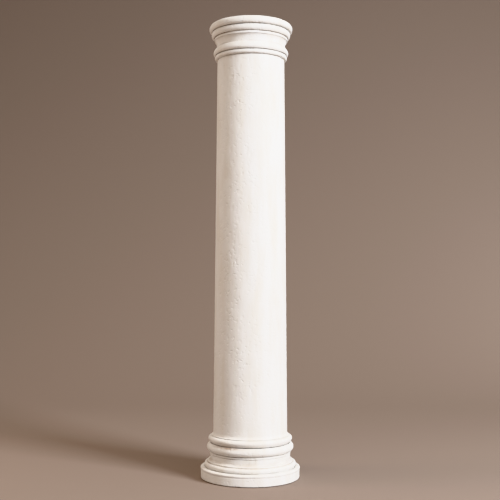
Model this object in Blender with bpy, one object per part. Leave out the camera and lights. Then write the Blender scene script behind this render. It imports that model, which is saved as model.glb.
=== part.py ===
"""A plain round column in white cast stone: a moulded base on a round plinth, a straight-tapered
shaft and a moulded capital under a round abacus. Metres, +Z up, origin at the middle of the underside."""

import math

import bmesh
import bpy

# Whole column
COLUMN_HEIGHT = 2.400
SHAFT_FOOT_RADIUS = 0.1965
SHAFT_TOP_RADIUS = 0.1778
JOINT_GAP = 0.0003

# Base, from the floor up. A projection is how far a moulding stands out past the shaft's foot.
PLINTH_FACE_HEIGHT = 0.0435
PLINTH_PROJECTION = 0.0660
PLINTH_FOOT_ROUND = 0.0050
GROOVE_HEIGHT = 0.0045
GROOVE_DEPTH = 0.0008
LIP_HEIGHT = 0.0155
LIP_PROJECTION = 0.0675
LIP_WIDTH = 0.0175
DISH_DEPTH = 0.0065
OVOLO_HEIGHT = 0.0315
OVOLO_PROJECTION = 0.0465
OVOLO_TUCK = 0.0100
OVOLO_SETBACK = 0.0120
STEP_HEIGHT = 0.0080
STEP_PROJECTION = 0.0300
STEP_WIDTH = 0.0030
SCOTIA_HEIGHT = 0.0340
SCOTIA_PROJECTION = 0.0155
SCOTIA_FILLET_HEIGHT = 0.0130
SCOTIA_FILLET_PROJECTION = 0.0180
LOW_TORUS_HEIGHT = 0.0455
LOW_TORUS_PROJECTION = 0.0335
TORUS_CREVICE_PROJECTION = 0.0125
HIGH_TORUS_HEIGHT = 0.0365
HIGH_TORUS_PROJECTION = 0.0260

# Foot of the shaft: a fillet that bears on the upper torus, and the flare above it
SHAFT_FILLET_HEIGHT = 0.0050
SHAFT_FILLET_PROJECTION = 0.0090
FLARE_HEIGHT = 0.0165
BEARING_LEDGE = 0.0015

# Capital, from the shaft up. A projection is how far a moulding stands out past the shaft's top.
BEAD_HEIGHT = 0.0221
BEAD_PROJECTION = 0.0135
BEAD_CREVICE_PROJECTION = 0.0095
ASTRAGAL_HEIGHT = 0.0424
ASTRAGAL_PROJECTION = 0.0210
NECK_HEIGHT = 0.0355
NECK_PROJECTION = 0.0021
NECK_FLARE = 0.0135
CAP_FILLET_HEIGHT = 0.0140
CAP_FILLET_PROJECTION = 0.0175
CAP_OVOLO_HEIGHT = 0.0328
CAP_OVOLO_PROJECTION = 0.0310
ABACUS_CREVICE_PROJECTION = 0.0240
ABACUS_HEIGHT = 0.0402
ABACUS_PROJECTION = 0.0425
ABACUS_EDGE_ROUND = 0.0215

# How far up its own height each moulding is widest, or most hollow
LIP_BELLY = 0.50
OVOLO_BELLY = 0.62
SCOTIA_HOLLOW = 0.45
LOW_TORUS_BELLY = 0.43
HIGH_TORUS_BELLY = 0.58
BEAD_BELLY = 0.52
ASTRAGAL_BELLY = 0.33
CAP_OVOLO_BELLY = 0.52
ABACUS_BELLY = 0.44

# Roundness of a moulding's quarters: 2 is an ellipse, more is squarer, less is leaner
ROUND = 2.0
LEAN = 1.5
SQUARE = 2.8

# Facets round the column, and steps along each quarter of a moulding
SEGMENTS = 48
QUARTER_STEPS = 4
MERGE_DISTANCE = 0.00001
SHARP_ANGLE = math.radians(38)

# Finish: white cast stone, rubbed smooth and left matt
STONE_WHITE = (0.86, 0.84, 0.80)
STONE_ROUGHNESS = 0.75


def quarter(edge, belly, fullness=ROUND):
    """The rounded or hollow run from a moulding's edge to its belly, both (radius, height)."""
    points = []
    for i in range(QUARTER_STEPS + 1):
        turn = math.pi / 2 * i / QUARTER_STEPS
        out = max(math.sin(turn), 0.0) ** (2.0 / fullness)
        back = max(math.cos(turn), 0.0) ** (2.0 / fullness)
        radius = edge[0] + (belly[0] - edge[0]) * out
        height = belly[1] + (edge[1] - belly[1]) * back
        points.append((radius, height))
    return points


def moulding(low, high, belly_radius, share, low_fullness=ROUND, high_fullness=ROUND):
    """A moulding between two edges, widest or most hollow at a share of its height."""
    belly = (belly_radius, low[1] + (high[1] - low[1]) * share)
    lower = quarter(low, belly, low_fullness)
    upper = quarter(high, belly, high_fullness)
    upper.reverse()
    return lower + upper[1:]


def base_outline():
    """The base, from the middle of its underside up and out to the middle of its top bed."""
    plinth = SHAFT_FOOT_RADIUS + PLINTH_PROJECTION
    groove = plinth - GROOVE_DEPTH
    lip = SHAFT_FOOT_RADIUS + LIP_PROJECTION
    ovolo = SHAFT_FOOT_RADIUS + OVOLO_PROJECTION
    step = SHAFT_FOOT_RADIUS + STEP_PROJECTION
    scotia = SHAFT_FOOT_RADIUS + SCOTIA_PROJECTION
    fillet = SHAFT_FOOT_RADIUS + SCOTIA_FILLET_PROJECTION
    low_torus = SHAFT_FOOT_RADIUS + LOW_TORUS_PROJECTION
    crevice = SHAFT_FOOT_RADIUS + TORUS_CREVICE_PROJECTION
    high_torus = SHAFT_FOOT_RADIUS + HIGH_TORUS_PROJECTION
    bed = SHAFT_FOOT_RADIUS + SHAFT_FILLET_PROJECTION + BEARING_LEDGE

    lip_foot = PLINTH_FACE_HEIGHT + GROOVE_HEIGHT
    lip_top = lip_foot + LIP_HEIGHT
    dish = lip_top - DISH_DEPTH
    ovolo_top = dish + OVOLO_HEIGHT
    step_top = ovolo_top + STEP_HEIGHT
    scotia_top = step_top + SCOTIA_HEIGHT
    fillet_top = scotia_top + SCOTIA_FILLET_HEIGHT
    crevice_height = fillet_top + LOW_TORUS_HEIGHT
    bed_height = crevice_height + HIGH_TORUS_HEIGHT

    ovolo_round = moulding(
        (ovolo - OVOLO_TUCK, dish), (ovolo - OVOLO_SETBACK, ovolo_top), ovolo, OVOLO_BELLY, LEAN
    )
    scotia_hollow = moulding(
        (step - STEP_WIDTH, step_top), (fillet, scotia_top), scotia, SCOTIA_HOLLOW, SQUARE, SQUARE
    )
    lower_torus = moulding(
        (fillet, fillet_top), (crevice, crevice_height), low_torus, LOW_TORUS_BELLY, LEAN
    )
    upper_torus = moulding(
        (crevice, crevice_height), (bed, bed_height), high_torus, HIGH_TORUS_BELLY, LEAN
    )
    return [
        (0.0, 0.0),
        *quarter((plinth - PLINTH_FOOT_ROUND, 0.0), (plinth, PLINTH_FOOT_ROUND)),
        (plinth, PLINTH_FACE_HEIGHT),
        (groove, PLINTH_FACE_HEIGHT + GROOVE_HEIGHT / 2),
        *moulding((groove, lip_foot), (lip - LIP_WIDTH, lip_top), lip, LIP_BELLY),
        *ovolo_round,
        (step, ovolo_top),
        (step, step_top),
        *scotia_hollow,
        *lower_torus,
        *upper_torus[1:],
        (0.0, bed_height),
    ]


def shaft_outline(height):
    """The shaft, from the middle of its lower bed up and out to the middle of its upper bed."""
    fillet = SHAFT_FOOT_RADIUS + SHAFT_FILLET_PROJECTION
    flare_top = SHAFT_FILLET_HEIGHT + FLARE_HEIGHT
    return [
        (0.0, 0.0),
        (fillet, 0.0),
        *quarter((fillet, SHAFT_FILLET_HEIGHT), (SHAFT_FOOT_RADIUS, flare_top)),
        (SHAFT_TOP_RADIUS, height),
        (0.0, height),
    ]


def capital_outline():
    """The capital, from the middle of its lower bed up and out to the middle of its top."""
    bed = SHAFT_TOP_RADIUS + BEARING_LEDGE
    bead = SHAFT_TOP_RADIUS + BEAD_PROJECTION
    crevice = SHAFT_TOP_RADIUS + BEAD_CREVICE_PROJECTION
    astragal = SHAFT_TOP_RADIUS + ASTRAGAL_PROJECTION
    neck = SHAFT_TOP_RADIUS + NECK_PROJECTION
    fillet = SHAFT_TOP_RADIUS + CAP_FILLET_PROJECTION
    ovolo = SHAFT_TOP_RADIUS + CAP_OVOLO_PROJECTION
    abacus_crevice = SHAFT_TOP_RADIUS + ABACUS_CREVICE_PROJECTION
    abacus = SHAFT_TOP_RADIUS + ABACUS_PROJECTION

    astragal_foot = BEAD_HEIGHT
    neck_foot = astragal_foot + ASTRAGAL_HEIGHT
    fillet_foot = neck_foot + NECK_HEIGHT
    ovolo_foot = fillet_foot + CAP_FILLET_HEIGHT
    abacus_foot = ovolo_foot + CAP_OVOLO_HEIGHT
    top = abacus_foot + ABACUS_HEIGHT

    neck_hollow = quarter((neck + NECK_FLARE, fillet_foot), (neck, neck_foot))
    neck_hollow.reverse()
    bead_round = moulding((bed, 0.0), (crevice, astragal_foot), bead, BEAD_BELLY, SQUARE)
    astragal_round = moulding(
        (crevice, astragal_foot), (neck, neck_foot), astragal, ASTRAGAL_BELLY, high_fullness=LEAN
    )
    ovolo_round = moulding((fillet, ovolo_foot), (abacus_crevice, abacus_foot), ovolo, CAP_OVOLO_BELLY)
    abacus_round = moulding(
        (abacus_crevice, abacus_foot), (abacus - ABACUS_EDGE_ROUND, top), abacus, ABACUS_BELLY, SQUARE
    )
    return [
        (0.0, 0.0),
        *bead_round,
        *astragal_round[1:],
        *neck_hollow[1:],
        (fillet, fillet_foot),
        *ovolo_round,
        *abacus_round[1:],
        (0.0, top),
    ]


def cast_stone(name):
    """White cast stone: no shine, and slightly warm."""
    material = bpy.data.materials.new(name)
    material.use_nodes = True
    shader = material.node_tree.nodes["Principled BSDF"]
    shader.inputs["Base Color"].default_value = (*STONE_WHITE, 1.0)
    shader.inputs["Roughness"].default_value = STONE_ROUGHNESS
    shader.inputs["Metallic"].default_value = 0.0
    return material


def turned(name, outline, height, parent):
    """A piece turned from its outline and set with its lower bed at a height."""
    mesh = bpy.data.meshes.new(name)
    shape = bmesh.new()
    verts = [shape.verts.new((radius, 0.0, z)) for radius, z in outline]
    edges = [shape.edges.new(pair) for pair in zip(verts, verts[1:])]
    bmesh.ops.spin(
        shape,
        geom=verts + edges,
        cent=(0.0, 0.0, 0.0),
        axis=(0.0, 0.0, 1.0),
        angle=2 * math.pi,
        steps=SEGMENTS,
        use_merge=True,
    )
    bmesh.ops.remove_doubles(shape, verts=shape.verts, dist=MERGE_DISTANCE)
    bmesh.ops.recalc_face_normals(shape, faces=shape.faces)
    shape.to_mesh(mesh)
    shape.free()
    mesh.shade_smooth()
    mesh.set_sharp_from_angle(angle=SHARP_ANGLE)
    mesh.materials.append(cast_stone(f"{name}_cast_stone"))
    piece = bpy.data.objects.new(name, mesh)
    piece.location.z = height
    piece.parent = parent
    bpy.context.collection.objects.link(piece)
    return piece


def outline_height(outline):
    """How tall a piece is between its beds."""
    return outline[-1][1]


def main():
    for leftover in list(bpy.data.objects):
        bpy.data.objects.remove(leftover)

    column = bpy.data.objects.new("column", None)
    bpy.context.collection.objects.link(column)

    base = base_outline()
    capital = capital_outline()
    shaft_foot = outline_height(base) + JOINT_GAP
    capital_foot = COLUMN_HEIGHT - outline_height(capital)
    shaft_height = capital_foot - JOINT_GAP - shaft_foot

    turned("base", base, 0.0, column)
    turned("shaft", shaft_outline(shaft_height), shaft_foot, column)
    turned("capital", capital, capital_foot, column)


main()
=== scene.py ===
"""A plain round column in white cast stone, on a pale studio floor.

Each piece is turned from its outline as a fine mesh, worn at its arrises and marked by its casting,
and stands for the frame's node of the same name. Metres, +Z up."""

import math

import bpy
import numpy as np
from bpy.props import FloatProperty, IntProperty, PointerProperty, StringProperty
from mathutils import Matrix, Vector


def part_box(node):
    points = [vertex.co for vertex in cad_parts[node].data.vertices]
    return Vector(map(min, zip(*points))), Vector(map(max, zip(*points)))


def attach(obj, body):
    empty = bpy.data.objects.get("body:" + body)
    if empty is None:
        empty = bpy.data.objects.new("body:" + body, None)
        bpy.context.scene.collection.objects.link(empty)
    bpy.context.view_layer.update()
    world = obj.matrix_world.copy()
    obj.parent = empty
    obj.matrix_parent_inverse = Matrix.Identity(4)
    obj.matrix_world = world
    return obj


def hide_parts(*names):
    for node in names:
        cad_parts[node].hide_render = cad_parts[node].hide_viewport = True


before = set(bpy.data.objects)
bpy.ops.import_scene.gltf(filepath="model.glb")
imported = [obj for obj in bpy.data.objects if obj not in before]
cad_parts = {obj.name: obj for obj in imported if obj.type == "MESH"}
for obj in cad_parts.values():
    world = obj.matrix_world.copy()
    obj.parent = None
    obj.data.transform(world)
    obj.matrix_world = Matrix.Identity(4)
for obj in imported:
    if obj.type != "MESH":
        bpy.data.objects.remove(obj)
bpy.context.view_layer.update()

bl_info = {
    "name": "Cast Stone Column",
    "version": (1, 0, 0),
    "blender": (4, 5, 0),
    "location": "View3D > Sidebar > Column",
    "description": "Builds a moulded round column in three pieces, with its studio",
    "category": "Add Mesh",
}

# The photograph's frame, and where the column stands in it, in pixels
FRAME_PIXELS = 500
HORIZON_ROW = 277.6
FOOT_ROW = 476.6
AXIS_COLUMN = 250.5
# The column is 2.400 m high, and its axis is about 449.9 pixels long in the photograph
METRES_PER_PIXEL = 0.005329


def length(name, description, default):
    """A size in metres for the sidebar."""
    return FloatProperty(
        name=name, description=description, default=default, precision=4, unit="LENGTH", subtype="DISTANCE"
    )


def share(name, description, default):
    """A part of a whole for the sidebar."""
    return FloatProperty(name=name, description=description, default=default, min=0.0, max=1.0)


def colour(name, description, default):
    """An sRGB hex colour for the sidebar."""
    return StringProperty(name=name, description=description, default=default)


class ColumnBaseSizes(bpy.types.PropertyGroup):
    """Mouldings of the base. A projection is how far one stands out past the foot of the shaft."""

    face_height: length("Plinth face", "Height of the plinth's plain face", 0.0435)
    plinth: length("Plinth", "Projection of the plinth", 0.0660)
    foot_round: length("Foot round", "Rounding where the plinth meets the floor", 0.0050)
    foot_gap: length("Foot gap", "Height of the fine gap under the plinth's edge", 0.0026)
    foot_gap_depth: length("Foot gap depth", "How far in that gap goes", 0.0180)
    groove_height: length("Groove height", "Shallow groove between plinth and lip", 0.0045)
    groove_depth: length("Groove depth", "How far the groove is cut in", 0.0008)
    lip_height: length("Lip height", "Height of the plinth's rounded lip", 0.0155)
    lip: length("Lip", "Projection of the lip", 0.0675)
    lip_width: length("Lip width", "Width of the lip across its top", 0.0175)
    dish_depth: length("Dish depth", "Drop from the lip's top to the ovolo's foot", 0.0065)
    ovolo_height: length("Ovolo height", "Height of the ovolo on the plinth", 0.0315)
    ovolo: length("Ovolo", "Projection of the ovolo", 0.0465)
    ovolo_tuck: length("Ovolo tuck", "How far the ovolo draws in at its foot", 0.0100)
    ovolo_setback: length("Ovolo setback", "How far the ovolo draws in at its top", 0.0120)
    step_height: length("Step height", "Height of the small step", 0.0080)
    step: length("Step", "Projection of the small step", 0.0300)
    step_width: length("Step width", "How much of the step's top is flat", 0.0030)
    scotia_height: length("Scotia height", "Height of the hollow", 0.0340)
    scotia: length("Scotia", "Projection at the hollow's deepest ring", 0.0155)
    fillet_height: length("Fillet height", "Height of the fillet under the lower torus", 0.0130)
    fillet: length("Fillet", "Projection of that fillet", 0.0180)
    low_torus_height: length("Lower torus height", "Height of the lower torus", 0.0455)
    low_torus: length("Lower torus", "Projection of the lower torus", 0.0335)
    crevice: length("Crevice", "Projection in the crevice between the tori", 0.0125)
    high_torus_height: length("Upper torus height", "Height of the upper torus", 0.0365)
    high_torus: length("Upper torus", "Projection of the upper torus", 0.0260)
    lip_belly: share("Lip belly", "Where up its height the lip is widest", 0.50)
    ovolo_belly: share("Ovolo belly", "Where up its height the ovolo is widest", 0.62)
    scotia_hollow: share("Scotia hollow", "Where up its height the scotia is deepest", 0.45)
    low_torus_belly: share("Lower torus belly", "Where up its height it is widest", 0.43)
    high_torus_belly: share("Upper torus belly", "Where up its height it is widest", 0.58)
    # A brown patch of painted warm bounce light and shade at the tori's crevice, on the shaded side
    painted_bounce_turn: FloatProperty(
        name="Stain", description="Where round the base the brown stain lies", default=math.radians(-124.0),
        subtype="ANGLE",
    )
    painted_bounce_length: length("Stain length", "Half the length of the stain", 0.0780)
    painted_bounce_drop: length("Stain drop", "How far the stain runs down from the tori's crevice", 0.0185)
    pits: IntProperty(name="Pits", description="Small hollows left by casting", default=70)
    pit_size: length("Pit size", "Radius of the widest of them", 0.0070)
    nicks: IntProperty(name="Nicks", description="Small chips along the arrises", default=60)


class ColumnShaftSizes(bpy.types.PropertyGroup):
    """The tapered shaft, with the fillet and flare at its foot."""

    foot_radius: length("Foot radius", "Radius above the flare", 0.1965)
    top_radius: length("Top radius", "Radius under the capital", 0.1778)
    fillet_height: length("Fillet height", "Height of the foot's fillet", 0.0050)
    fillet: length("Fillet", "Projection of the foot's fillet", 0.0090)
    flare_height: length("Flare height", "Height of the flare above the fillet", 0.0165)
    ledge: length("Ledge", "How far the beds above and below stand out past the shaft's own", 0.0015)
    pits: IntProperty(name="Pits", description="Small hollows left by casting", default=400)
    pit_size: length("Pit size", "Radius of the widest of them", 0.0150)
    nicks: IntProperty(name="Nicks", description="Small chips along the arrises", default=6)


class ColumnCapitalSizes(bpy.types.PropertyGroup):
    """Mouldings of the capital. A projection is how far one stands out past the top of the shaft."""

    bead_height: length("Bead height", "Height of the small bead", 0.0221)
    bead: length("Bead", "Projection of the small bead", 0.0135)
    bead_crevice: length("Bead crevice", "Projection between bead and astragal", 0.0095)
    astragal_height: length("Astragal height", "Height of the astragal with its long slope", 0.0424)
    astragal: length("Astragal", "Projection of the astragal", 0.0210)
    neck_height: length("Neck height", "Height of the hollow neck", 0.0355)
    neck: length("Neck", "Projection at the neck's narrowest ring", 0.0021)
    neck_flare: length("Neck flare", "How far the neck flares at its top", 0.0135)
    fillet_height: length("Fillet height", "Height of the fillet over the neck", 0.0140)
    fillet: length("Fillet", "Projection of that fillet", 0.0175)
    ovolo_height: length("Ovolo height", "Height of the capital's ovolo", 0.0328)
    ovolo: length("Ovolo", "Projection of the capital's ovolo", 0.0310)
    abacus_crevice: length("Abacus crevice", "Projection between ovolo and abacus", 0.0240)
    abacus_height: length("Abacus height", "Height of the round abacus", 0.0402)
    abacus: length("Abacus", "Projection of the abacus", 0.0425)
    abacus_round: length("Abacus round", "How far the abacus draws in at its top edge", 0.0215)
    bead_belly: share("Bead belly", "Where up its height the bead is widest", 0.52)
    astragal_belly: share("Astragal belly", "Where up its height the astragal is widest", 0.33)
    ovolo_belly: share("Ovolo belly", "Where up its height the ovolo is widest", 0.52)
    abacus_belly: share("Abacus belly", "Where up its height the abacus is widest", 0.44)
    pits: IntProperty(name="Pits", description="Small hollows left by casting", default=60)
    pit_size: length("Pit size", "Radius of the widest of them", 0.0070)
    nicks: IntProperty(name="Nicks", description="Small chips along the arrises", default=50)


class ColumnStoneFinish(bpy.types.PropertyGroup):
    """How the cast stone looks and how far it is worn."""

    white: colour("White", "Body of the stone", "E6E4E1")
    cream: colour("Cream", "Faint warmer clouds and streaks", "DFDAD2")
    grit: colour("Grit", "Fine sand showing in the rubbed face", "C8C0B4")
    # The dust colour also paints the shade in the crevices, corners, hollows and pits
    dust_and_shade: colour("Dust", "Dust and handling dirt in the crevices", "8C7158")
    quirk: length("Quirk", "How deep the fine grooves between the mouldings are cut", 0.0050)
    quirk_width: length("Quirk width", "Half the width of those grooves", 0.0015)
    ease: length("Ease", "How far a rim is drawn in at a joint", 0.0050)
    ease_width: length("Ease width", "How far up from the joint it is drawn in", 0.0022)
    crisp: length("Crisp arris", "Rounding of an arris that was spared", 0.0006)
    worn: length("Worn arris", "Rounding of an arris that was knocked and rubbed", 0.0017)
    wander: length("Wander", "How far a face wanders from true", 0.00018)
    mottle: length("Mottle", "Depth of the fine unevenness", 0.00010)
    pit_depth: length("Pit depth", "Depth of the deepest hollow", 0.0016)
    nick_size: length("Nick size", "Radius of the widest chip", 0.0070)
    nick_depth: length("Nick depth", "Depth of the deepest chip", 0.0022)
    streaks: length("Streaks", "Depth of the upright rubbing marks", 0.00004)
    # How much paler the painted crevice shade is on the side that faces the key light
    lit_side_paler: share("Wiped", "How much cleaner the crevices are at the right", 0.35)
    roughness: share("Roughness", "Matt, rubbed stone", 0.72)
    seed: IntProperty(name="Seed", description="Picks the marks", default=17)


class ColumnStudio(bpy.types.PropertyGroup):
    """The pale floor, the soft lights and the camera."""

    floor: colour("Floor", "Pale matt paper", "93847A")
    air: colour("Air", "Warm light that the room sends back", "F2E8DE")
    air_strength: FloatProperty(name="Air strength", description="How strong it is", default=0.11)
    sky: colour("Sky", "Broad light from overhead", "FFF3E6")
    overhead: FloatProperty(name="Overhead", description="Strength of the light from above", default=1.1)
    key_colour: colour("Key colour", "Colour of the large soft light at the right", "F4F9FF")
    key: FloatProperty(name="Key", description="Its power", default=980.0)
    fill_colour: colour("Fill colour", "Colour of the weak light at the left", "FFEDDE")
    fill: FloatProperty(name="Fill", description="Its power", default=50.0)
    backdrop: FloatProperty(name="Backdrop", description="Power of the light on the paper", default=90.0)
    distance: length("Distance", "From the camera to the column's axis", 4.734)
    roll: FloatProperty(
        name="Roll", description="Lean of the camera", default=math.radians(-0.10), subtype="ANGLE"
    )


def linear(hex_colour):
    """An sRGB hex colour as linear red, green, blue and alpha."""
    parts = [int(hex_colour[i:i + 2], 16) / 255 for i in (0, 2, 4)]
    return [p / 12.92 if p <= 0.04045 else ((p + 0.055) / 1.055) ** 2.4 for p in parts] + [1.0]


# Roundness of a moulding's quarters: 2 is an ellipse, more is squarer, less is leaner
ROUND = 2.0
LEAN = 1.5
SQUARE = 2.8
QUARTER_STEPS = 24
# The way that the side with paler painted crevice shade faces, towards the key light at the right of the
# camera
LIT_SIDE_TURN = math.radians(-40.0)
# Spacing at which a face is worked out before its rings are chosen
FINE_STEP = 0.0004
# Rounding that the face's normals are taken from, that which leaves its larger forms, and that which
# leaves only its broadest
NORMAL_ROUNDING = 0.0012
LARGER_FORMS = 0.004
BROADEST_FORMS = 0.014
# A corner counts as an arris from this share of the sharpest one
ARRIS_SHARE = 0.35
# How far in from a bed the marks fade out, so that the beds stay true
BED_MARGIN = 0.006
# How deep a sharp corner, a broad hollow and a pit are when their dust and painted shade start, and when they
# are full
CORNER_DUST_AND_SHADE = (0.0003, 0.0016)
HOLLOW_DUST_AND_SHADE = (0.0008, 0.0035)
PIT_DUST_AND_SHADE = (0.0014, 0.0030)


def quarter(edge, belly, fullness=ROUND):
    """The rounded or hollow run from a moulding's edge to its belly, both (radius, height)."""
    turn = np.linspace(0.0, math.pi / 2, QUARTER_STEPS + 1)
    out = np.clip(np.sin(turn), 0.0, 1.0) ** (2.0 / fullness)
    back = np.clip(np.cos(turn), 0.0, 1.0) ** (2.0 / fullness)
    radius = edge[0] + (belly[0] - edge[0]) * out
    height = belly[1] + (edge[1] - belly[1]) * back
    return list(zip(radius, height))


def moulding(low, high, belly_radius, belly_share, low_fullness=ROUND, high_fullness=ROUND):
    """A moulding between two edges, widest or most hollow at a share of its height."""
    belly = (belly_radius, low[1] + (high[1] - low[1]) * belly_share)
    lower = quarter(low, belly, low_fullness)
    upper = quarter(high, belly, high_fullness)
    return lower + upper[-2::-1]


def base_face(sizes, shaft):
    """The base's dressed face, from the rim of its underside up to the rim of its top bed, and the fine
    grooves cut in its corners, each as a point of the face and a share of the full depth."""
    foot = shaft.foot_radius
    plinth = foot + sizes.plinth
    groove = plinth - sizes.groove_depth
    lip = foot + sizes.lip
    ovolo = foot + sizes.ovolo
    step = foot + sizes.step
    fillet = foot + sizes.fillet
    crevice = foot + sizes.crevice
    bed = foot + shaft.fillet + shaft.ledge

    lip_foot = sizes.face_height + sizes.groove_height
    lip_top = lip_foot + sizes.lip_height
    dish = lip_top - sizes.dish_depth
    ovolo_top = dish + sizes.ovolo_height
    step_top = ovolo_top + sizes.step_height
    scotia_top = step_top + sizes.scotia_height
    fillet_top = scotia_top + sizes.fillet_height
    crevice_height = fillet_top + sizes.low_torus_height
    bed_height = crevice_height + sizes.high_torus_height

    ovolo_round = moulding(
        (ovolo - sizes.ovolo_tuck, dish),
        (ovolo - sizes.ovolo_setback, ovolo_top),
        ovolo,
        sizes.ovolo_belly,
        LEAN,
    )
    scotia = moulding(
        (step - sizes.step_width, step_top),
        (fillet, scotia_top),
        foot + sizes.scotia,
        sizes.scotia_hollow,
        SQUARE,
        SQUARE,
    )
    lower_torus = moulding(
        (fillet, fillet_top), (crevice, crevice_height), foot + sizes.low_torus, sizes.low_torus_belly, LEAN
    )
    upper_torus = moulding(
        (crevice, crevice_height), (bed, bed_height), foot + sizes.high_torus, sizes.high_torus_belly, LEAN
    )
    quirks = [
        ((ovolo - sizes.ovolo_tuck / 2, lip_top), 1.2),
        ((step, ovolo_top), 0.35),
        ((foot + sizes.scotia, scotia_top), 1.5),
        ((fillet, fillet_top), 1.6),
        ((crevice, crevice_height), 2.2),
    ]
    face = [
        (plinth - sizes.foot_gap_depth, 0.0),
        (plinth - sizes.foot_gap_depth, sizes.foot_gap),
        *quarter((plinth - sizes.foot_round, sizes.foot_gap), (plinth, sizes.foot_round)),
        (plinth, sizes.face_height),
        (groove, sizes.face_height + sizes.groove_height / 2),
        *moulding((groove, lip_foot), (lip - sizes.lip_width, lip_top), lip, sizes.lip_belly),
        *ovolo_round,
        (step, ovolo_top),
        (step, step_top),
        *scotia,
        *lower_torus,
        *upper_torus[1:],
    ]
    return face, quirks


def shaft_face(shaft, height):
    """The shaft's dressed face, from the rim of its lower bed up to the rim of its upper bed. No groove
    is cut in it."""
    fillet = shaft.foot_radius + shaft.fillet
    flare_top = shaft.fillet_height + shaft.flare_height
    face = [
        (fillet, 0.0),
        *quarter((fillet, shaft.fillet_height), (shaft.foot_radius, flare_top)),
        (shaft.top_radius, height),
    ]
    return face, []


def capital_face(sizes, shaft):
    """The capital's dressed face, from the rim of its lower bed up to the rim of its top, and the fine
    grooves cut in its corners."""
    top_radius = shaft.top_radius
    crevice = top_radius + sizes.bead_crevice
    neck = top_radius + sizes.neck
    fillet = top_radius + sizes.fillet
    abacus_crevice = top_radius + sizes.abacus_crevice
    abacus = top_radius + sizes.abacus

    neck_foot = sizes.bead_height + sizes.astragal_height
    fillet_foot = neck_foot + sizes.neck_height
    ovolo_foot = fillet_foot + sizes.fillet_height
    abacus_foot = ovolo_foot + sizes.ovolo_height
    top = abacus_foot + sizes.abacus_height

    bead = moulding(
        (top_radius + shaft.ledge, 0.0),
        (crevice, sizes.bead_height),
        top_radius + sizes.bead,
        sizes.bead_belly,
        SQUARE,
    )
    astragal = moulding(
        (crevice, sizes.bead_height),
        (neck, neck_foot),
        top_radius + sizes.astragal,
        sizes.astragal_belly,
        high_fullness=LEAN,
    )
    hollow = quarter((neck + sizes.neck_flare, fillet_foot), (neck, neck_foot))
    ovolo = moulding(
        (fillet, ovolo_foot), (abacus_crevice, abacus_foot), top_radius + sizes.ovolo, sizes.ovolo_belly
    )
    abacus_round = moulding(
        (abacus_crevice, abacus_foot), (abacus - sizes.abacus_round, top), abacus, sizes.abacus_belly, SQUARE
    )
    face = [*bead, *astragal[1:], *hollow[-2::-1], (fillet, fillet_foot), *ovolo, *abacus_round[1:]]
    quirks = [
        ((crevice, sizes.bead_height), 1.8),
        ((neck + sizes.neck_flare, fillet_foot), 0.9),
        ((fillet, ovolo_foot), 1.1),
        ((abacus_crevice, abacus_foot), 2.6),
    ]
    return face, quirks


def evenly(face, spacing):
    """The face walked from end to end at an even spacing, as an array of (radius, height)."""
    points = np.array(face)
    steps = np.hypot(*np.diff(points, axis=0).T)
    along = np.concatenate([[0.0], np.cumsum(steps)])
    keep = np.concatenate([[True], steps > 1e-7])
    count = max(int(round(along[-1] / spacing)), 8)
    walk = np.linspace(0.0, along[-1], count + 1)
    return np.column_stack([np.interp(walk, along[keep], points[keep, i]) for i in range(2)])


def softened(face, spacing, radius):
    """The face with its corners rounded over about a radius, and its two ends left in place."""
    reach = max(int(math.ceil(3 * radius / spacing)), 1)
    offsets = np.arange(-reach, reach + 1) * spacing
    weights = np.exp(-0.5 * (offsets / radius) ** 2)
    weights /= weights.sum()
    result = np.empty_like(face)
    for i in range(2):
        line = face[:, i]
        before = 2 * line[0] - line[reach:0:-1]
        after = 2 * line[-1] - line[-2:-reach - 2:-1]
        result[:, i] = np.convolve(np.concatenate([before, line, after]), weights, mode="valid")
    return result


def outward(face):
    """Unit normals of the face, pointing away from the stone."""
    run = np.gradient(face, axis=0)
    normal = np.column_stack([run[:, 1], -run[:, 0]])
    return normal / np.linalg.norm(normal, axis=1)[:, None]


def waves(rng, angle, along, count, around, span):
    """A smooth random field of about unit size over a turned face. around is how many waves go round
    it, and span is how long a wave is along it, each as (least, most)."""
    field = np.zeros((len(along), len(angle)))
    for _ in range(count):
        turns = int(rng.integers(around[0], around[1] + 1)) * int(rng.choice((-1, 1)))
        wavelength = math.exp(rng.uniform(math.log(span[0]), math.log(span[1])))
        phase = rng.uniform(0, 2 * math.pi)
        field += np.cos(turns * angle[None, :] + 2 * math.pi * along[:, None] / wavelength + phase)
    return field / math.sqrt(count / 2)


def dimple(depth, angle, along, radius, place, size, amount):
    """Sinks one round hollow into a depth field over a turned face."""
    turn = np.abs((angle[None, :] - place[0] + math.pi) % (2 * math.pi) - math.pi)
    away = np.hypot(turn * radius[:, None], along[:, None] - place[1]) / size
    np.maximum(depth, amount * np.clip(1 - away * away, 0, None) ** 2, out=depth)


def soft_step(value, low, high):
    """0 below low, 1 above high, and smooth between."""
    t = np.clip((value - low) / (high - low), 0.0, 1.0)
    return t * t * (3 - 2 * t)


def ring_places(face, count):
    """Which points of the face carry a ring: evenly, and closer together where it turns."""
    run = np.diff(face, axis=0)
    heading = np.unwrap(np.arctan2(run[:, 1], run[:, 0]))
    turning = np.abs(np.gradient(heading))
    length_along = np.hypot(run[:, 0], run[:, 1])
    need = length_along / length_along.sum() + 0.6 * turning / turning.sum()
    reached = np.concatenate([[0.0], np.cumsum(need)])
    places = np.searchsorted(reached, np.linspace(0.0, reached[-1], count))
    return np.unique(np.clip(places, 0, len(face) - 1))


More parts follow.
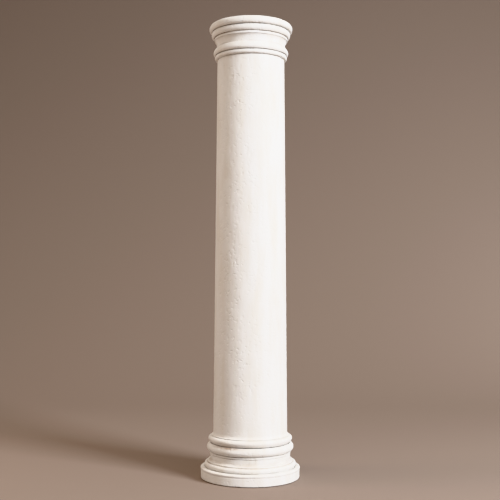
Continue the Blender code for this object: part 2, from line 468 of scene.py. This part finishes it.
def turned_stone(name, face, quirks, foot, grid, eased, hollow_dust_and_shade, marks, finish, seed, painted_bounce=None):
    """A piece turned from its face, with flat beds, quirks between its mouldings, worn arrises, nicks
    and pits. grid is how many points go round it and how many rings it has, and eased is how far its
    lower and upper rims are drawn in. The share after eased is how much dust and painted shade lie in its
    broad hollows, and the last argument is a corner of the face from which a brown patch of painted warm
    bounce light and shade runs down, with the way it faces, half its length, and how far it runs down."""
    rng = np.random.default_rng(seed)
    true = evenly(face, FINE_STEP)
    crisp = softened(true, FINE_STEP, finish.crisp)
    worn = softened(true, FINE_STEP, finish.worn)
    normal = outward(softened(true, FINE_STEP, NORMAL_ROUNDING))
    bulge = np.einsum("ij,ij->i", crisp - softened(true, FINE_STEP, LARGER_FORMS), normal)
    wide = np.einsum("ij,ij->i", crisp - softened(true, FINE_STEP, BROADEST_FORMS), normal)
    along = np.arange(len(true)) * FINE_STEP

    cut = np.zeros(len(true))
    for corner, share_cut in quirks:
        place = along[np.argmin(np.linalg.norm(true - corner, axis=1))]
        groove = np.exp(-((along - place) / finish.quirk_width) ** 2)
        cut = np.maximum(cut, finish.quirk * share_cut * groove)
    drawn_in = np.zeros(len(true))
    for rim, amount in ((along, eased[0]), (along[-1] - along, eased[1])):
        drawn_in += amount * np.exp(-(rim / finish.ease_width) ** 2)
    for line in (crisp, worn):
        line -= normal * cut[:, None]
        line[:, 0] -= drawn_in

    keep = ring_places(crisp, grid[1])
    crisp, worn, normal = crisp[keep], worn[keep], normal[keep]
    along, bulge, cut, wide = along[keep], bulge[keep], cut[keep], wide[keep]
    angle = np.linspace(0, 2 * math.pi, grid[0], endpoint=False)
    radius = crisp[:, 0]
    inside = soft_step(np.minimum(along, along[-1] - along), 0.0, BED_MARGIN)[:, None]

    # Wear comes in patches, and the face wanders slowly, with rubbing marks and a fine unevenness over it
    wear = np.clip(0.45 + 0.4 * waves(rng, angle, along, 14, (2, 30), (0.03, 0.4)), 0, 1)
    offset = finish.wander * waves(rng, angle, along, 18, (2, 14), (0.08, 0.6))
    offset += finish.streaks * waves(rng, angle, along, 40, (24, 96), (0.12, 0.7))
    offset += finish.mottle * waves(rng, angle, along, 60, (40, 120), (0.012, 0.03))
    offset = np.minimum(offset - 2 * finish.wander, 0.0)

    depth = np.zeros_like(offset)
    for _ in range(marks.pits):
        place = (rng.uniform(0, 2 * math.pi), rng.uniform(0, along[-1]))
        size = rng.uniform(0.55, 1.0) * marks.pit_size
        dimple(depth, angle, along, radius, place, size, rng.uniform(0.3, 1.0) * finish.pit_depth)
    arrises = np.flatnonzero(bulge > ARRIS_SHARE * bulge.max())
    for _ in range(marks.nicks):
        place = (rng.uniform(0, 2 * math.pi), along[rng.choice(arrises)])
        size = rng.uniform(0.4, 1.0) * finish.nick_size
        dimple(depth, angle, along, radius, place, size, rng.uniform(0.3, 1.0) * finish.nick_depth)
    offset = (offset - depth) * inside
    wear = wear * inside

    ring_radius = crisp[:, :1] * (1 - wear) + worn[:, :1] * wear + normal[:, :1] * offset
    ring_height = crisp[:, 1:] * (1 - wear) + worn[:, 1:] * wear + normal[:, 1:] * offset
    ring_height = np.clip(ring_height, 0.0, face[-1][1]) + foot
    x = ring_radius * np.cos(angle)
    y = ring_radius * np.sin(angle)
    rings = np.stack([x, y, ring_height], axis=-1)
    # Painted shade, with dust, lies thickest in the quirks and sharp corners, and thinly in the broad hollows
    hollow = np.maximum(np.minimum(cut / finish.quirk, 1.0), soft_step(-bulge, *CORNER_DUST_AND_SHADE))
    hollow = np.maximum(hollow, hollow_dust_and_shade * soft_step(-wide, *HOLLOW_DUST_AND_SHADE))
    dust_and_shade_amount = dust_and_shade_field(rng, angle, along, hollow, depth, finish.lit_side_paler)
    # A brown patch of painted warm bounce light and shade, laid into the same attribute
    if painted_bounce:
        corner, turn, half_length, drop = painted_bounce
        below = along[np.argmin(np.linalg.norm(crisp - corner, axis=1))] - along
        round_it = np.abs((angle - turn + math.pi) % (2 * math.pi) - math.pi) * corner[0]
        down_it = np.exp(-((below - drop / 2) / (drop / 2)) ** 2)
        dust_and_shade_amount = np.maximum(dust_and_shade_amount, down_it[:, None] * np.exp(-(round_it / half_length) ** 2))
    return stone_mesh(name, rings, dust_and_shade_amount)


def dust_and_shade_field(rng, angle, along, hollow, depth, lit_side_paler):
    """How much dust and painted shade lies at each point: most in the crevices, less on the side that faces
    the key light, where the painted shade is paler, and a little in the deepest pits."""
    patchy = np.clip(0.7 + 0.3 * waves(rng, angle, along, 16, (1, 12), (0.05, 0.5)), 0, 1)
    patchy *= 1 - lit_side_paler * soft_step(np.cos(angle - LIT_SIDE_TURN), 0.5, 1.0)
    return np.clip(hollow[:, None] * patchy + soft_step(depth, *PIT_DUST_AND_SHADE) * 0.4, 0, 1)


def stone_mesh(name, rings, dust_and_shade_amount):
    """A closed mesh of rings with a flat fan at each end, holding its dust and painted shade as a point
    attribute.
    """
    count, segments = rings.shape[:2]
    low = (0.0, 0.0, float(rings[0, :, 2].mean()))
    high = (0.0, 0.0, float(rings[-1, :, 2].mean()))
    points = np.concatenate([rings.reshape(-1, 3), [low, high]])
    ring, turn = np.meshgrid(np.arange(count - 1), np.arange(segments), indexing="ij")
    here = ring * segments + turn
    beside = ring * segments + (turn + 1) % segments
    quads = np.stack([here, beside, beside + segments, here + segments], axis=-1).reshape(-1, 4)
    first = np.arange(segments)
    second = (first + 1) % segments
    last = (count - 1) * segments
    faces = quads.tolist()
    faces += np.stack([second, first, np.full(segments, len(points) - 2)], axis=-1).tolist()
    faces += np.stack([first + last, second + last, np.full(segments, len(points) - 1)], axis=-1).tolist()

    mesh = bpy.data.meshes.new(name)
    mesh.from_pydata(points.tolist(), [], faces)
    dust_and_shade = mesh.attributes.new("dust_and_shade_amount", "FLOAT", "POINT")
    dust_and_shade.data.foreach_set("value", np.append(dust_and_shade_amount.ravel(), [0.0, 0.0]).astype(np.float32))
    mesh.shade_smooth()
    mesh.set_sharp_from_angle(angle=math.radians(50))
    mesh.validate()
    piece = bpy.data.objects.new(name, mesh)
    bpy.context.collection.objects.link(piece)
    return piece


def add(tree, kind, settings=(), **links):
    """Adds a node with its settings, and links or sets its inputs. An input goes by its own name, with
    an underscore for each space, or by its place: i0 is the first."""
    node = tree.nodes.new(kind)
    for key, value in dict(settings).items():
        setattr(node, key, value)
    for key, value in links.items():
        socket = node.inputs[int(key[1:])] if key[1:].isdigit() else node.inputs[key.replace("_", " ")]
        if isinstance(value, bpy.types.NodeSocket):
            tree.links.new(value, socket)
        else:
            socket.default_value = value
    return node


def per_metre(millimetres):
    """The scale of a pattern whose marks are this wide."""
    return 1000.0 / millimetres


def rubbed_cast_stone(finish):
    """White cement and fine marble sand, cast, then rubbed down with a stone and left unsealed.
    It gives the eye a soft chalky white with no glint, a faint sandy grain, and warmer upright clouds
    where it was rubbed less; light catches only its arrises."""
    material = bpy.data.materials.new("rubbed_white_cast_stone")
    material.use_nodes = True
    tree = material.node_tree
    shader = tree.nodes["Principled BSDF"]
    place = add(tree, "ShaderNodeTexCoord").outputs["Object"]

    # Clouds 60 mm wide and about 300 mm tall, as the mix settled and was rubbed
    upright = add(tree, "ShaderNodeMapping", Vector=place, Scale=(1.0, 1.0, 0.2)).outputs[0]
    clouds = add(
        tree, "ShaderNodeTexNoise", Vector=upright, Scale=per_metre(60), Detail=4.0, Roughness=0.55
    ).outputs["Fac"]
    cloudy = add(
        tree, "ShaderNodeMapRange", Value=clouds, i1=0.42, i2=0.68, i3=0.0, i4=0.75
    ).outputs["Result"]
    # Streaks 9 mm wide and 150 mm long, left by the rubbing stone
    drawn = add(tree, "ShaderNodeMapping", Vector=place, Scale=(1.0, 1.0, 0.06)).outputs[0]
    streaks = add(
        tree, "ShaderNodeTexNoise", Vector=drawn, Scale=per_metre(9), Detail=2.0, Roughness=0.5
    ).outputs["Fac"]
    # Sand of 0.6 mm is too fine to show, so it is drawn at 2.5 mm
    grain = add(
        tree, "ShaderNodeTexNoise", Vector=place, Scale=per_metre(2.5), Detail=3.0, Roughness=0.7
    ).outputs["Fac"]
    sandy = add(
        tree, "ShaderNodeMapRange", Value=grain, i1=0.60, i2=0.78, i3=0.0, i4=0.35
    ).outputs["Result"]
    # This point attribute holds dust together with painted shade in the crevices, corners, hollows and pits
    dust_and_shade_amount = add(tree, "ShaderNodeAttribute", {"attribute_name": "dust_and_shade_amount"}).outputs["Fac"]
    # Dust and painted shade lie in soft patches 25 mm wide
    blotches = add(
        tree, "ShaderNodeTexNoise", Vector=place, Scale=per_metre(25), Detail=3.0
    ).outputs["Fac"]
    patches = add(
        tree, "ShaderNodeMapRange", Value=blotches, i1=0.35, i2=0.62, i3=0.55, i4=1.0
    ).outputs["Result"]
    dust_and_shade_mix = add(
        tree, "ShaderNodeMath", {"operation": "MULTIPLY"}, i0=dust_and_shade_amount, i1=patches
    ).outputs[0]

    def mixed(share_socket, below, above):
        """One colour laid over another by a share."""
        return add(
            tree, "ShaderNodeMix", {"data_type": "RGBA"}, i0=share_socket, i6=below, i7=above
        ).outputs[2]

    body = mixed(cloudy, linear(finish.white), linear(finish.cream))
    body = mixed(sandy, body, linear(finish.grit))
    # Dust and painted crevice shade, laid over the stone in the dust colour
    body = mixed(dust_and_shade_mix, body, linear(finish.dust_and_shade))
    tree.links.new(body, shader.inputs["Base Color"])

    dull = add(
        tree, "ShaderNodeMapRange", Value=grain, i1=0.3, i2=0.7,
        i3=finish.roughness - 0.08, i4=finish.roughness + 0.10,
    ).outputs["Result"]
    tree.links.new(dull, shader.inputs["Roughness"])

    # Shallow hollows about 12 mm across, in loose groups, between those that are modelled
    lumps = add(
        tree, "ShaderNodeTexNoise", Vector=place, Scale=per_metre(16), Detail=2.0, Roughness=0.5
    ).outputs["Fac"]
    deep = add(
        tree, "ShaderNodeMapRange", {"interpolation_type": "SMOOTHSTEP"},
        Value=lumps, i1=0.55, i2=0.72, i3=0.0, i4=1.0,
    ).outputs["Result"]
    groups = add(
        tree, "ShaderNodeTexNoise", Vector=place, Scale=per_metre(110), Detail=2.0, Roughness=0.5
    ).outputs["Fac"]
    grouped = add(
        tree, "ShaderNodeMapRange", {"interpolation_type": "SMOOTHSTEP"},
        Value=groups, i1=0.38, i2=0.60, i3=0.35, i4=1.0,
    ).outputs["Result"]
    hollows = add(
        tree, "ShaderNodeMath", {"operation": "MULTIPLY"}, i0=deep, i1=grouped
    ).outputs[0]
    holes = add(tree, "ShaderNodeMath", {"operation": "SUBTRACT"}, i0=1.0, i1=hollows).outputs[0]
    hollowed = add(tree, "ShaderNodeBump", Height=holes, Strength=1.0, Distance=0.0011)
    rubbed = add(
        tree, "ShaderNodeBump", Height=streaks, Strength=0.5, Distance=0.0005, Normal=hollowed.outputs[0]
    )
    sanded = add(
        tree, "ShaderNodeBump", Height=grain, Strength=0.35, Distance=0.0003, Normal=rubbed.outputs[0]
    )
    tree.links.new(sanded.outputs[0], shader.inputs["Normal"])
    shader.inputs["IOR"].default_value = 1.50
    shader.inputs["Specular IOR Level"].default_value = 0.35
    return material


def matt_paper(hex_colour):
    """Seamless background paper: flat, matt and even, so that nothing in it draws the eye."""
    material = bpy.data.materials.new("matt_background_paper")
    material.use_nodes = True
    shader = material.node_tree.nodes["Principled BSDF"]
    shader.inputs["Base Color"].default_value = linear(hex_colour)
    shader.inputs["Roughness"].default_value = 0.9
    shader.inputs["Specular IOR Level"].default_value = 0.1
    return material


def stone(scene):
    """The column's one material, made once."""
    found = bpy.data.materials.get("rubbed_white_cast_stone")
    return found or rubbed_cast_stone(scene.column_finish)


def dress(piece, node, scene):
    """Gives a piece its stone, and puts it in the place of the frame's node."""
    piece.data.materials.append(stone(scene))
    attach(piece, "root")
    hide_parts(node)


def check_fit(node, face):
    """Raises an error if a piece's height isn't the height of the node that it stands for."""
    low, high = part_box(node)
    if abs((high.z - low.z) - face[-1][1]) > 0.0005:
        raise RuntimeError(f"the {node} is {high.z - low.z:.4f} m high in the frame, not {face[-1][1]:.4f} m")
    return low.z


class COLUMN_OT_base(bpy.types.Operator):
    """Turn the moulded base with its round plinth"""

    bl_idname = "column.base"
    bl_label = "Base"

    def execute(self, context):
        scene = context.scene
        sizes = scene.column_base
        face, quirks = base_face(sizes, scene.column_shaft)
        foot = check_fit("base", face)
        finish = scene.column_finish
        # The brown patch of painted warm bounce light and shade runs down from the crevice between the tori
        painted_bounce = (quirks[-1][0], sizes.painted_bounce_turn, sizes.painted_bounce_length, sizes.painted_bounce_drop)
        piece = turned_stone(
            "moulded_base", face, quirks, foot, grid=(480, 205), eased=(0.0, finish.ease), hollow_dust_and_shade=0.4,
            marks=sizes, finish=finish, seed=finish.seed, painted_bounce=painted_bounce,
        )
        dress(piece, "base", scene)
        return {"FINISHED"}


class COLUMN_OT_shaft(bpy.types.Operator):
    """Turn the plain tapered shaft"""

    bl_idname = "column.shaft"
    bl_label = "Shaft"

    def execute(self, context):
        scene = context.scene
        low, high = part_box("shaft")
        face, quirks = shaft_face(scene.column_shaft, high.z - low.z)
        finish = scene.column_finish
        piece = turned_stone(
            "tapered_shaft", face, quirks, low.z, grid=(252, 392), eased=(finish.ease, finish.ease),
            hollow_dust_and_shade=0.0, marks=scene.column_shaft, finish=finish, seed=finish.seed + 1,
        )
        dress(piece, "shaft", scene)
        return {"FINISHED"}


class COLUMN_OT_capital(bpy.types.Operator):
    """Turn the moulded capital with its round abacus"""

    bl_idname = "column.capital"
    bl_label = "Capital"

    def execute(self, context):
        scene = context.scene
        face, quirks = capital_face(scene.column_capital, scene.column_shaft)
        foot = check_fit("capital", face)
        finish = scene.column_finish
        piece = turned_stone(
            "moulded_capital", face, quirks, foot, grid=(420, 230), eased=(finish.ease, 0.0), hollow_dust_and_shade=0.05,
            marks=scene.column_capital, finish=finish, seed=finish.seed + 2,
        )
        dress(piece, "capital", scene)
        return {"FINISHED"}


def sweep(name, width, depth, front, height, bend, steps=24):
    """A floor that curves up into a backdrop, as one sheet."""
    line = [(front, 0.0), (depth - bend, 0.0)]
    for i in range(1, steps + 1):
        turn = math.pi / 2 * i / steps
        line.append((depth - bend + bend * math.sin(turn), bend - bend * math.cos(turn)))
    line.append((depth, height))
    points = [(side * width / 2, y, z) for y, z in line for side in (-1, 1)]
    faces = [(2 * i, 2 * i + 1, 2 * i + 3, 2 * i + 2) for i in range(len(line) - 1)]
    mesh = bpy.data.meshes.new(name)
    mesh.from_pydata(points, [], faces)
    mesh.shade_smooth()
    sheet = bpy.data.objects.new(name, mesh)
    bpy.context.collection.objects.link(sheet)
    return sheet


def soft_light(name, place, target, size, power, hex_colour):
    """A soft rectangular light aimed at a point."""
    data = bpy.data.lights.new(name, "AREA")
    data.shape = "RECTANGLE"
    data.size, data.size_y = size
    data.energy = power
    data.color = linear(hex_colour)[:3]
    lamp = bpy.data.objects.new(name, data)
    lamp.location = place
    direction = np.array(target) - np.array(place)
    lamp.rotation_euler = (
        math.atan2(math.hypot(direction[0], direction[1]), -direction[2]),
        0.0,
        math.atan2(direction[1], direction[0]) - math.pi / 2,
    )
    bpy.context.collection.objects.link(lamp)
    return lamp


def photo_camera(studio):
    """The camera at the photograph's place: level, with the column's foot and the horizon on the
    photograph's rows."""
    focal_pixels = studio.distance / METRES_PER_PIXEL
    data = bpy.data.cameras.new("photo_camera")
    data.sensor_width = 36.0
    data.lens = data.sensor_width * focal_pixels / FRAME_PIXELS
    data.shift_y = (HORIZON_ROW - FRAME_PIXELS / 2) / FRAME_PIXELS
    data.shift_x = (FRAME_PIXELS / 2 - AXIS_COLUMN) / FRAME_PIXELS
    camera = bpy.data.objects.new("photo_camera", data)
    camera.location = (0.0, -studio.distance, (FOOT_ROW - HORIZON_ROW) * METRES_PER_PIXEL)
    camera.rotation_euler = (math.pi / 2, studio.roll, 0.0)
    bpy.context.collection.objects.link(camera)
    bpy.context.scene.camera = camera


def studio_air(studio):
    """Even warm light from all round, and more of it from a broad patch overhead."""
    world = bpy.data.worlds.new("studio_air")
    world.use_nodes = True
    tree = world.node_tree
    way = add(tree, "ShaderNodeTexCoord").outputs["Generated"]
    # The broad patch lies nearly straight up, a little to the front
    facing = add(
        tree, "ShaderNodeVectorMath", {"operation": "DOT_PRODUCT"}, i0=way, i1=(-0.08, -0.30, 0.95)
    ).outputs["Value"]
    sky = add(
        tree, "ShaderNodeMapRange", {"interpolation_type": "SMOOTHSTEP"}, Value=facing, i1=0.50, i2=0.97
    ).outputs["Result"]
    tint = add(
        tree, "ShaderNodeMix", {"data_type": "RGBA"}, i0=sky, i6=linear(studio.air), i7=linear(studio.sky)
    ).outputs[2]
    strength = add(
        tree, "ShaderNodeMapRange", Value=sky, i3=studio.air_strength,
        i4=studio.air_strength + studio.overhead,
    ).outputs["Result"]
    air = tree.nodes["Background"]
    tree.links.new(tint, air.inputs["Color"])
    tree.links.new(strength, air.inputs["Strength"])
    return world


class COLUMN_OT_stage(bpy.types.Operator):
    """Lay the pale floor, hang the soft lights and set the camera"""

    bl_idname = "column.stage"
    bl_label = "Studio"

    def execute(self, context):
        studio = context.scene.column_studio
        photo_camera(studio)
        floor = sweep("paper_floor", width=24.0, depth=8.5, front=-7.0, height=9.0, bend=6.0)
        floor.data.materials.append(matt_paper(studio.floor))
        middle = (0.0, 0.0, 1.2)
        soft_light("key_light", (5.4, -4.6, 4.2), middle, (2.4, 3.0), studio.key, studio.key_colour)
        soft_light("fill_light", (-3.4, -0.4, 2.3), middle, (1.4, 1.6), studio.fill, studio.fill_colour)
        soft_light(
            "backdrop_light", (5.4, 2.8, 2.6), (3.6, 8.0, 3.0), (1.6, 2.4), studio.backdrop, studio.key_colour
        )
        context.scene.world = studio_air(studio)
        context.scene.view_settings.view_transform = "Khronos PBR Neutral"
        return {"FINISHED"}


PIECES = (COLUMN_OT_stage, COLUMN_OT_base, COLUMN_OT_shaft, COLUMN_OT_capital)
SETTINGS = {
    "column_base": ColumnBaseSizes,
    "column_shaft": ColumnShaftSizes,
    "column_capital": ColumnCapitalSizes,
    "column_finish": ColumnStoneFinish,
    "column_studio": ColumnStudio,
}


class COLUMN_PT_sidebar(bpy.types.Panel):
    """Sizes, finish and studio of the column"""

    bl_idname = "COLUMN_PT_sidebar"
    bl_label = "Cast Stone Column"
    bl_space_type = "VIEW_3D"
    bl_region_type = "UI"
    bl_category = "Column"

    def draw(self, context):
        for operator in PIECES:
            self.layout.operator(operator.bl_idname)
        for name, group in SETTINGS.items():
            box = self.layout.box()
            box.label(text=group.__doc__.split(".")[0])
            for key in group.__annotations__:
                box.prop(getattr(context.scene, name), key)


def register():
    """Adds the sizes, the operators and the panel to Blender."""
    for name, group in SETTINGS.items():
        bpy.utils.register_class(group)
        setattr(bpy.types.Scene, name, PointerProperty(type=group))
    for cls in (*PIECES, COLUMN_PT_sidebar):
        bpy.utils.register_class(cls)


def unregister():
    """Takes them away again."""
    for cls in (COLUMN_PT_sidebar, *reversed(PIECES)):
        bpy.utils.unregister_class(cls)
    for name, group in reversed(SETTINGS.items()):
        delattr(bpy.types.Scene, name)
        bpy.utils.unregister_class(group)


def main():
    """Builds the studio and the three pieces."""
    register()
    bpy.ops.column.stage()
    bpy.ops.column.base()
    bpy.ops.column.shaft()
    bpy.ops.column.capital()


if __name__ == "__main__":
    main()
